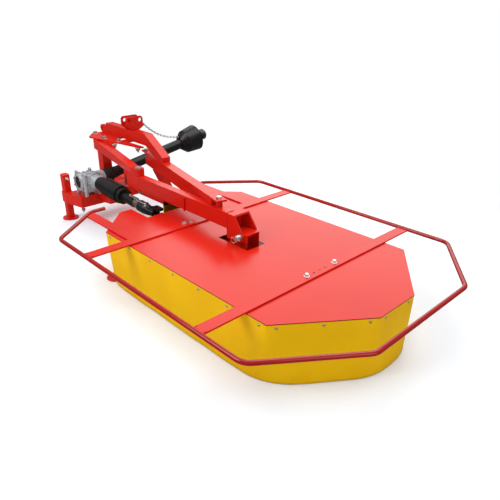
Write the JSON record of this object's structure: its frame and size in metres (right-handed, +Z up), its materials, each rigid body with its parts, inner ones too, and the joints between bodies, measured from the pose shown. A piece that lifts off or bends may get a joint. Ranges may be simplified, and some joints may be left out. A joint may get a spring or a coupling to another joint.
{
  "type": "disc mower",
  "caption": "Offset rear disc mower on a three-point headstock: skirted cutting deck with guard pipe, swing arm, brace, gearbox, drive shafts and parking leg.",
  "frame": {"origin": "on the ground, at the middle of the whole machine's length and width", "axes": "+X away from the tractor along the cutting width, +Y forwards to the tractor, +Z up"},
  "size_m": [2.9657, 1.6717, 0.722],
  "materials": {
    "red_paint": "gloss red paint",
    "skirt_yellow": "yellow coated tarpaulin",
    "cast_metal": "bare cast aluminium",
    "black_plastic": "black moulded plastic",
    "rubber_pad": "black rubber",
    "bright_steel": "zinc plated steel",
    "dark_steel": "dark cast steel",
    "knife_steel": "hardened knife steel"
  },
  "bodies": {
    "headstock": {"base_box": "red_paint", "hitch_beam": "red_paint", "upright": "red_paint", "mast": "red_paint", "top_link_bracket": "red_paint", "stay": "red_paint", "post": "red_paint", "hitch_plate": "red_paint", "brace": "red_paint", "brace_bolts": "bright_steel", "swing_pin": "bright_steel", "swing_yoke": "red_paint", "gearbox": "cast_metal", "gearbox_cap": "rubber_pad", "output_guard": "black_plastic", "output_fork": "dark_steel", "pto_guard": "black_plastic", "chain": "bright_steel"},
    "arm": {"arm_beam": "red_paint", "arm_head": "red_paint", "pendulum_pin": "bright_steel", "stop_pad": "rubber_pad"},
    "cutting_unit": {"cover": "red_paint", "skirt": "skirt_yellow", "gear_case": "red_paint", "cross_members": "red_paint", "pivot_bracket": "red_paint", "guard_pipe": "red_paint", "cross_flats": "red_paint", "short_flats": "red_paint", "input_housing": "cast_metal", "input_knuckle": "dark_steel", "spindles": "bright_steel"},
    "inner_rotor": {"rotor_inner": "red_paint", "knives_inner": "knife_steel"},
    "outer_rotor": {"rotor_outer": "red_paint", "knives_outer": "knife_steel"},
    "inner_saucer": {"saucer_inner": "dark_steel"},
    "outer_saucer": {"saucer_outer": "dark_steel"},
    "leg": {"parking_leg": "red_paint"},
    "drive_cross": {"shaft_cross": "bright_steel"},
    "drive_outer": {"shaft_fork": "dark_steel", "clutch_guard": "black_plastic", "outer_tube": "black_plastic"},
    "drive_inner": {"inner_tube": "dark_steel"},
    "power_shaft": {"pto_core": "dark_steel"}
  },
  "joints": [
    {"name": "arm_swing", "type": "hinge", "parent": "headstock", "child": "arm", "pos_m": [-0.483, -0.149, 0.41], "axis": [0, 0, 1], "range_deg": [-25, 0]},
    {"name": "unit_tilt", "type": "hinge", "parent": "arm", "child": "cutting_unit", "pos_m": [0.477, -0.12, 0.348], "axis": [0, 1, 0], "range_deg": [-6, 4.5]},
    {"name": "inner_rotor_spin", "type": "hinge", "parent": "cutting_unit", "child": "inner_rotor", "pos_m": [0.113, -0.094, 0.1], "axis": [0, 0, 1], "continuous": true},
    {"name": "outer_rotor_spin", "type": "hinge", "parent": "cutting_unit", "child": "outer_rotor", "pos_m": [0.893, -0.094, 0.1], "axis": [0, 0, 1], "continuous": true},
    {"name": "inner_saucer_spin", "type": "hinge", "parent": "cutting_unit", "child": "inner_saucer", "pos_m": [0.113, -0.094, 0.026], "axis": [0, 0, 1], "continuous": true},
    {"name": "outer_saucer_spin", "type": "hinge", "parent": "cutting_unit", "child": "outer_saucer", "pos_m": [0.893, -0.094, 0.026], "axis": [0, 0, 1], "continuous": true},
    {"name": "leg_slide", "type": "slide", "parent": "headstock", "child": "leg", "axis": [0, 0, 1], "range_m": [0, 0.12]},
    {"name": "drive_yaw", "type": "hinge", "parent": "headstock", "child": "drive_cross", "pos_m": [-0.833, -0.199, 0.305], "axis": [0, 0, 1], "range_deg": [-10.85, 0]},
    {"name": "drive_pitch", "type": "hinge", "parent": "drive_cross", "child": "drive_outer", "pos_m": [-0.833, -0.199, 0.305], "axis": [0, 1, 0], "range_deg": [-5, 6.66]},
    {"name": "drive_slide", "type": "slide", "parent": "drive_outer", "child": "drive_inner", "axis": [0.9984, 0, -0.0564], "range_m": [-0.0361, 0]},
    {"name": "power_shaft_spin", "type": "hinge", "parent": "headstock", "child": "power_shaft", "pos_m": [-1.043, -0.107, 0.301], "axis": [0, 0.9826, 0.1857], "continuous": true}
  ],
  "couplings": [
    {"joint": "outer_rotor_spin", "follows": "inner_rotor_spin", "ratio": -1},
    {"joint": "drive_yaw", "follows": "arm_swing", "ratio": 0.434},
    {"joint": "drive_pitch", "follows": "unit_tilt", "ratio": -1.11},
    {"joint": "drive_slide", "follows": "arm_swing", "m_per_rad": 0.0827}
  ]
}
